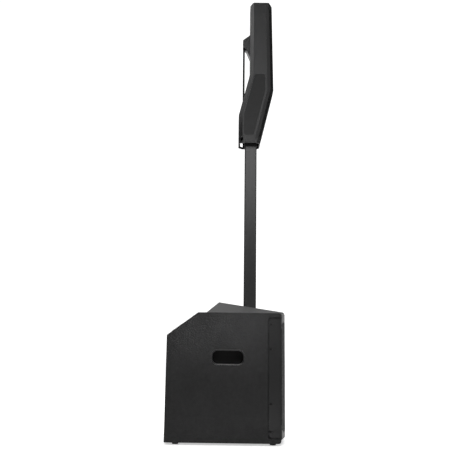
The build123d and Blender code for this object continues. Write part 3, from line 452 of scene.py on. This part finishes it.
def perforated_sheet(name, outline, holes, inner_points, bend, thickness):
    """Sheet cut flat in (u, v) with its holes, then bent; bend gives an outer point and its normal."""
    points, loops = [], []
    for loop in [outline] + holes:
        loops.append(list(range(len(points), len(points) + len(loop))))
        points += [Vector(point) for point in loop]
    points += [Vector(point) for point in inner_points]
    flat, _, cells, _, _, parents = geometry.delaunay_2d_cdt(points, [], loops, 1, 1e-6)
    faces = [cell for cell, parent in zip(cells, parents) if parent == [0]]
    used = sorted({index for face in faces for index in face})
    order = {index: number for number, index in enumerate(used)}
    total = len(used)
    outer, inner = [], []
    for index in used:
        x, y, z, nx, ny = bend(*flat[index])
        outer.append((x * MM, y * MM, z * MM))
        inner.append(((x - nx * thickness) * MM, (y - ny * thickness) * MM, z * MM))
    front = [tuple(order[index] for index in face) for face in faces]
    back = [tuple(index + total for index in reversed(face)) for face in front]
    sides = {}
    for face in front:
        for a, b in zip(face, face[1:] + face[:1]):
            if (b, a) in sides:
                del sides[(b, a)]
            else:
                sides[(a, b)] = True
    walls = [(b, a, a + total, b + total) for a, b in sides]
    mesh = bpy.data.meshes.new(name)
    mesh.from_pydata(outer + inner, [], front + back + walls)
    mesh.validate()
    smooth(mesh)
    return mesh


def turn_outward(mesh):
    """Makes every face normal of a closed mesh point outward."""
    shape = bmesh.new()
    shape.from_mesh(mesh)
    bmesh.ops.recalc_face_normals(shape, faces=shape.faces)
    shape.to_mesh(mesh)
    shape.free()


def plate_between(name, outline, near, far):
    """Closed prism over a (y, z) outline, between two distances along x."""
    count = len(outline)
    points = [(x * MM, y * MM, z * MM) for x in (near, far) for y, z in outline]
    rim = [(i, (i + 1) % count, (i + 1) % count + count, i + count) for i in range(count)]
    mesh = bpy.data.meshes.new(name)
    mesh.from_pydata(points, [], [tuple(range(count))[::-1], tuple(range(count, 2 * count))] + rim)
    turn_outward(mesh)
    return mesh


def evaluated_mesh(piece, name):
    """Mesh of a piece with its modifiers applied."""
    graph = bpy.context.evaluated_depsgraph_get()
    graph.update()
    made = bpy.data.meshes.new_from_object(piece.evaluated_get(graph))
    made.name = name
    return made


CUT_PROUD = 5.0  # how far a cutter stands out of the face that it cuts


def cut_away(piece, outline, face, depth):
    """Cuts a (y, z) outline into a piece's face at x = face, to depth below it."""
    outward = 1 if face > 0 else -1
    near, far = face - outward * depth, face + outward * CUT_PROUD
    cutter = bpy.data.objects.new("cutter", plate_between("cutter", outline, near, far))
    scene.collection.objects.link(cutter)
    cut = piece.modifiers.new("cut", "BOOLEAN")
    cut.operation = "DIFFERENCE"
    cut.solver = "EXACT"
    cut.object = cutter
    mesh = evaluated_mesh(piece, piece.name)
    finish = piece.data.materials[0]
    piece.modifiers.remove(cut)
    piece.data = mesh
    mesh.materials.clear()
    mesh.materials.append(finish)
    bpy.data.objects.remove(cutter)


def rounded_box(centre, width, height, radius, steps=8):
    """Outline of a rounded rectangle in (y, z)."""
    outline = []
    for turn, (dy, dz) in enumerate(((1, 1), (-1, 1), (-1, -1), (1, -1))):
        corner = (centre[0] + dy * (width / 2 - radius), centre[1] + dz * (height / 2 - radius))
        for step in range(steps + 1):
            angle = pi / 2 * (turn + step / steps)
            outline.append((corner[0] + radius * cos(angle), corner[1] + radius * sin(angle)))
    return outline


# ---------------------------------------------------------------- subwoofer grille
# The sheet is laid out flat: u runs along it from the middle, v is the height. Then it is bent in plan.
grille_low, grille_high = (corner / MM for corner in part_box("sub_grille"))
BOW_RADIUS = 758.0
BOW_STEPS, FOLD_STEPS = 60, 10
SHEET = 1.6
FOLD = 8.0
FLANGE_GAP = 2.6
HEX_PITCH = 14.67
HEX_ACROSS = 12.3
FIRST_ROW = 9.0
ZONE_LOW, ZONE_HIGH = 60.0, 562.0
ZONE_CORNER = 32.0
FLANGE_LOW, FLANGE_HIGH, FLANGE_CORNER = 32.0 + FLANGE_GAP, 582.0 - FLANGE_GAP, 14.0

grille_half = grille_high.x
bow_centre = grille_low.y + BOW_RADIUS
fold_x = grille_half - FOLD
fold_y = bow_centre - sqrt((BOW_RADIUS - FOLD) ** 2 - fold_x**2)
fold_turn = asin(fold_x / (BOW_RADIUS - FOLD))
bow_half = corner_arc((0.0, bow_centre), BOW_RADIUS, 0.0, fold_turn, BOW_STEPS)[:-1]
bow_half += corner_arc((fold_x, fold_y), FOLD, fold_turn, pi / 2, FOLD_STEPS)
bow_half.append((grille_half, grille_high.y))
grille_section = Section(bow_half)
fold_start = BOW_RADIUS * fold_turn
fold_end = fold_start + FOLD * (pi / 2 - fold_turn)
flange_end = grille_section.middle - FLANGE_GAP

fold_places = [fold_start + (fold_end - fold_start) * i / 4 for i in range(5)]
right_edge = [(u, grille_low.z) for u in fold_places]
right_edge += [(fold_end, FLANGE_LOW), (flange_end - FLANGE_CORNER, FLANGE_LOW),
               (flange_end, FLANGE_LOW + FLANGE_CORNER), (flange_end, FLANGE_HIGH - FLANGE_CORNER),
               (flange_end - FLANGE_CORNER, FLANGE_HIGH), (fold_end, FLANGE_HIGH)]
right_edge += [(u, grille_high.z) for u in reversed(fold_places)]
left_edge = [(-u, v) for u, v in reversed(right_edge)]
EDGE_PLACES = range(-210, 211, 15)
FOLD_HEIGHTS = range(35, 596, 5)
bottom_run = [(u, grille_low.z) for u in EDGE_PLACES]
top_run = [(u, grille_high.z) for u in reversed(EDGE_PLACES)]
grille_outline = bottom_run + right_edge + top_run + left_edge

HEX_COLUMN = HEX_PITCH * sqrt(3) / 2
fold_middle = (fold_start + fold_end) / 2
column_count = round(2 * fold_middle / HEX_COLUMN)
column_step = 2 * fold_middle / column_count
grille_holes, grille_plain = [], []
zone_rows = ceil((grille_high.z - grille_low.z) / HEX_PITCH)
for column in range(column_count + 1):
    u = -fold_middle + column * column_step
    at_fold = column in (0, column_count)
    for row in range(zone_rows + 1):
        v = grille_low.z + FIRST_ROW + (row + 0.5 * (column % 2)) * HEX_PITCH
        du = max(0.0, abs(u) - (fold_middle - ZONE_CORNER))
        dv = max(0.0, abs(v - (ZONE_LOW + ZONE_HIGH) / 2) - ((ZONE_HIGH - ZONE_LOW) / 2 - ZONE_CORNER))
        if hypot(du, dv) <= ZONE_CORNER:
            grille_holes.append(hexagon(u, v, HEX_ACROSS, 6 if at_fold else 1))
        elif grille_low.z + 3 < v < grille_high.z - 3:
            grille_plain.append((u, v))
grille_plain += [(side * u, v) for side in (-1, 1) for u in fold_places for v in FOLD_HEIGHTS]
grille_plain = [(u, v) for u, v in grille_plain if FLANGE_LOW < v < FLANGE_HIGH or abs(u) < fold_start]

SCREW_HEIGHTS = (63.0, 186.0, 435.0, 550.0)
SLOT_MIDDLE, SLOT_LENGTH, SLOT_WIDTH = -203.5, 18.0, 8.0
slot_u = fold_end + SLOT_MIDDLE - fold_y


def slot_outline(centre):
    """Outline of the slot that a grille screw sits in."""
    return rounded_box(centre, SLOT_LENGTH, SLOT_WIDTH, SLOT_WIDTH / 2 - 0.1, 6)


for side in (-1, 1):
    for height in SCREW_HEIGHTS:
        grille_holes.append(slot_outline((side * slot_u, height)))


def bend_grille(u, v):
    """Outer point and normal of the subwoofer grille at (u, v) of its flat sheet."""
    x, y, nx, ny = grille_section.at(u)
    return x, y, v, nx, ny


sub_grille_mesh = perforated_sheet("sub_grille_sheet", grille_outline, grille_holes, grille_plain,
                                   bend_grille, SHEET)
new_piece("sub_grille_sheet", sub_grille_mesh, "subwoofer", "grille_steel", ["sub_grille"])

# ---------------------------------------------------------------- array grille
array_low, array_high = (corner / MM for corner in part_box("array_grille"))
FRONT_CORNER = 18.0
SEAM = 33.6
ARRAY_SHEET = 1.2
ARRAY_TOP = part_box("array_shell")[1].z / MM
ARRAY_FRONT = ((1480.0, -154.3), (1800.0, -230.8), (ARRAY_TOP, -221.6))
ARRAY_REAR = ((1480.0, -46.0), (1660.0, -46.0), (1892.0, -104.0), (ARRAY_TOP, -104.0))
SHOULDER = (-205.0, ARRAY_TOP)
ARRAY_INSET = 0.3
SHOULDER_FOOT = ARRAY_TOP - 16.7
ARRAY_PITCH = 7.0
ARRAY_ACROSS = 5.7
MARGIN = 13.0
PERFORATED_HALF = 66.0
BEND_U = 41.0
SHOULDER_PLACES = (-60, -50, -BEND_U, -20, 0, 20, BEND_U, 50, 60)
BEND_RADIUS = 2.5


def face_y(bends, z):
    """Y at height z of an array face that is straight between its bends."""
    for (low, start), (high, end) in zip(bends, bends[1:]):
        if z <= high:
            return start + (end - start) * (z - low) / (high - low)
    return bends[-1][1]


def array_front(z):
    """Y of the array's front face at height z."""
    return face_y(ARRAY_FRONT, z)


def rounded_path(corners, radius, steps=4):
    """Polyline with each inner corner rounded."""
    path = [corners[0]]
    for before, corner, after in zip(corners, corners[1:], corners[2:]):
        a, b, c = Vector(before), Vector(corner), Vector(after)
        back, ahead = (a - b).normalized(), (c - b).normalized()
        half = back.angle(ahead) / 2
        start = b + back * radius / (sin(half) / cos(half))
        end = b + ahead * radius / (sin(half) / cos(half))
        for step in range(steps + 1):
            t = step / steps
            path.append(tuple(start * (1 - t) ** 2 + b * 2 * t * (1 - t) + end * t**2))
    path.append(corners[-1])
    return path


array_half = array_high.x
array_corners = [(0.0, 0.0), (array_half - FRONT_CORNER, 0.0), (array_half, FRONT_CORNER), (array_half, SEAM)]
array_section = Section(rounded_path(array_corners, BEND_RADIUS))


def bend_array(u, v):
    """Outer point and normal of the array grille at (u, v), which follows the bent front and its shoulder."""
    x, y, nx, ny = array_section.at(u)
    front = max(array_front(v) + ARRAY_INSET, SHOULDER[0] - (SHOULDER[1] - v) + 0.5)
    return x, max(y + array_front(v) + ARRAY_INSET, front), v, nx, ny


array_reach = array_section.middle
across = (-PERFORATED_HALF, -BEND_U, 0.0, BEND_U, PERFORATED_HALF)
rising = (array_low.z, ARRAY_REAR[1][0], ARRAY_FRONT[1][0], 2040.0, SHOULDER_FOOT, array_high.z)
array_outline = [(u, array_low.z) for u in (-array_reach, *across)]
array_outline += [(array_reach, v) for v in rising]
array_outline += [(u, array_high.z) for u in reversed(across)]
array_outline += [(-array_reach, v) for v in reversed(rising[1:])]
array_plain = [(u, SHOULDER_FOOT) for u in SHOULDER_PLACES]
array_holes = []
array_step = ARRAY_PITCH * sqrt(3) / 2
columns = int(PERFORATED_HALF / array_step)
for column in range(-columns, columns + 1):
    rows = int((array_high.z - array_low.z - 2 * MARGIN) / ARRAY_PITCH)
    for row in range(rows):
        v = array_low.z + MARGIN + (row + 0.5 * (column % 2)) * ARRAY_PITCH
        array_holes.append(hexagon(column * array_step, v, ARRAY_ACROSS))
array_grille_mesh = perforated_sheet("array_grille_sheet", array_outline, array_holes, array_plain,
                                     bend_array, ARRAY_SHEET)
new_piece("array_grille_sheet", array_grille_mesh, "array", "grille_steel", ["array_grille"])
array_grille_mesh.materials[0] = finishes["fine_grille"]

# ---------------------------------------------------------------- array shell with its side recesses
LONG_EDGE_RADIUS = 4.0
RECESS_DEPTH = 1.2
RECESS_LOW, RECESS_HIGH = 1544.0, 1886.0
RECESS_REAR_GAP, RECESS_FRONT_GAP = 27.0, 44.0
RECESS_CORNERS = 14.0
INLAY_GAP = 0.5
INLAY_THICKNESS = 0.8


def recess_outline(grow):
    """Rounded outline of a side recess in (y, z), grown by grow, along the bent column."""
    low, high = RECESS_LOW - grow, RECESS_HIGH + grow
    rear = [(face_y(ARRAY_REAR, z) - RECESS_REAR_GAP + grow, z) for z in (low, ARRAY_REAR[1][0], high)]
    front = [(face_y(ARRAY_FRONT, z) + RECESS_FRONT_GAP - grow, z) for z in (high, ARRAY_FRONT[1][0], low)]
    start = ((rear[0][0] + front[-1][0]) / 2, low)
    path = rounded_path([start, *rear, *front, start], RECESS_CORNERS, 6)
    return path[:-1]


shape = bmesh.new()
shape.from_mesh(nodes["array_shell"].data)
bmesh.ops.remove_doubles(shape, verts=shape.verts, dist=WELD * MM)
bmesh.ops.dissolve_limit(shape, angle_limit=radians(FLAT_ANGLE), verts=shape.verts, edges=shape.edges)
long_edges = []
for edge in shape.edges:
    if len(edge.link_faces) != 2 or not radians(15) < edge.calc_face_angle(0) < radians(60):
        continue
    middle = (edge.verts[0].co + edge.verts[1].co) / 2
    core_y = (face_y(ARRAY_FRONT, middle.z / MM) + face_y(ARRAY_REAR, middle.z / MM)) / 2
    core = Vector((0, core_y * MM, middle.z))
    if all(face.normal.dot(middle - core) > 0.001 or face.normal.z > 0.6 for face in edge.link_faces):
        long_edges.append(edge)
bmesh.ops.bevel(shape, geom=long_edges, offset=LONG_EDGE_RADIUS * MM, segments=5, profile=0.5, affect="EDGES",
                clamp_overlap=True)
shell_mesh = bpy.data.meshes.new("array_case_mesh")
shape.to_mesh(shell_mesh)
shape.free()
shell = new_piece("array_case_refined", shell_mesh, "array", "array_case", ["array_shell"])
for side in (-1, 1):
    cut_away(shell, recess_outline(0), side * array_half, RECESS_DEPTH)
bevel_edges(shell, 0.6, 2, 50)
smooth(shell.data, 30)
weighted = shell.modifiers.new("weighted", "WEIGHTED_NORMAL")
weighted.keep_sharp = True

for side, name in ((-1, "array_inlay_left"), (1, "array_inlay_right")):
    seat_x = array_half - RECESS_DEPTH
    inlay_mesh = plate_between(name, recess_outline(-INLAY_GAP), side * seat_x,
                               side * (seat_x + INLAY_THICKNESS))
    painted_shade_inlay = new_piece(name, inlay_mesh, "array", "array_case")
    # The inlay finish paints shade on the lower side of the array and light near its bottom.
    inlay_mesh.materials[0] = finishes["painted_shade_inlay"]
    bevel_edges(painted_shade_inlay, 0.5, 2, 50)

# ---------------------------------------------------------------- side boards and pocket lips
POCKET_SIZE = (146.0, 60.0)
POCKET_CORNER = 24.0
CUP_RAISE = 10.0
LIP_ROLL = 6.0
LIP_SEAT = 6.2
BOARD = 18.0
GROOVE, GROOVE_DEPTH = 6.5, 9.0
GROOVE_FRONT, GROOVE_REAR = -250.0, grille_high.y + 1.2
GROOVE_LOW, GROOVE_HIGH = 31.0, 583.0
GROOVE_CORNER, GROOVE_INNER_CORNER = 16.0, 11.0


def pocket_outline(centre, grow):
    """Outline of a hand pocket in (y, z), grown by grow."""
    width, height = (length + 2 * grow for length in POCKET_SIZE)
    return rounded_box(centre, width, height, POCKET_CORNER + grow)


for side, tag in ((-1, "left"), (1, "right")):
    panel = "side_panel_" + tag
    cup_low, cup_high = (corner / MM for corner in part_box("handle_cup_" + tag))
    centre = ((cup_low.y + cup_high.y) / 2, (cup_low.z + cup_high.z) / 2 - CUP_RAISE)
    panel_low, panel_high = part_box(panel)
    face = max(-panel_low.x, panel_high.x) / MM
    board = new_piece("side_board_" + tag, nodes[panel].data.copy(), "subwoofer", "board", [panel])
    merge_flat(board)
    board.data = evaluated_mesh(board, "side_board_" + tag)
    board.modifiers.clear()
    outer = rounded_path([(GROOVE_FRONT, GROOVE_HIGH), (GROOVE_REAR, GROOVE_HIGH), (GROOVE_REAR, GROOVE_LOW),
                          (GROOVE_FRONT, GROOVE_LOW)], GROOVE_CORNER, 6)
    inner_rear, inner_low, inner_high = GROOVE_REAR - GROOVE, GROOVE_LOW + GROOVE, GROOVE_HIGH - GROOVE
    inner = rounded_path([(GROOVE_FRONT, inner_low), (inner_rear, inner_low), (inner_rear, inner_high),
                          (GROOVE_FRONT, inner_high)], GROOVE_INNER_CORNER, 6)
    cut_away(board, outer + inner, side * face, GROOVE_DEPTH)
    for height in SCREW_HEIGHTS:
        cut_away(board, slot_outline((SLOT_MIDDLE, height)), side * face, GROOVE_DEPTH)
    seat = pocket_outline(centre, LIP_SEAT)
    cut_away(board, seat, side * face, LIP_SEAT)
    round_edges(board, *EDGES[panel])

    profile = [(LIP_SEAT - 0.1, LIP_SEAT - 0.1)]
    for turn in (pi * i / 16 for i in range(9)):
        profile.append((LIP_SEAT - 0.4 - LIP_ROLL * sin(turn), 0.1 + LIP_ROLL * (1 - cos(turn))))
    profile += [(-0.2, BOARD - 0.2), (1.0, BOARD - 0.2)]
    rings = [pocket_outline(centre, grow) for grow, depth in profile]
    count = len(rings[0])
    points = [(side * (face - depth) * MM, y * MM, z * MM)
              for ring, (grow, depth) in zip(rings, profile) for y, z in ring]
    quads = []
    for row in range(len(profile)):
        after = (row + 1) % len(profile)
        for i in range(count):
            j = (i + 1) % count
            quads.append((row * count + i, row * count + j, after * count + j, after * count + i))
    lip_mesh = bpy.data.meshes.new("pocket_lip_" + tag)
    lip_mesh.from_pydata(points, [], quads)
    turn_outward(lip_mesh)
    smooth(lip_mesh, 40)
    new_piece("pocket_lip_" + tag, lip_mesh, "subwoofer", "housing")
    lip_mesh.materials[0] = finishes["lip"]
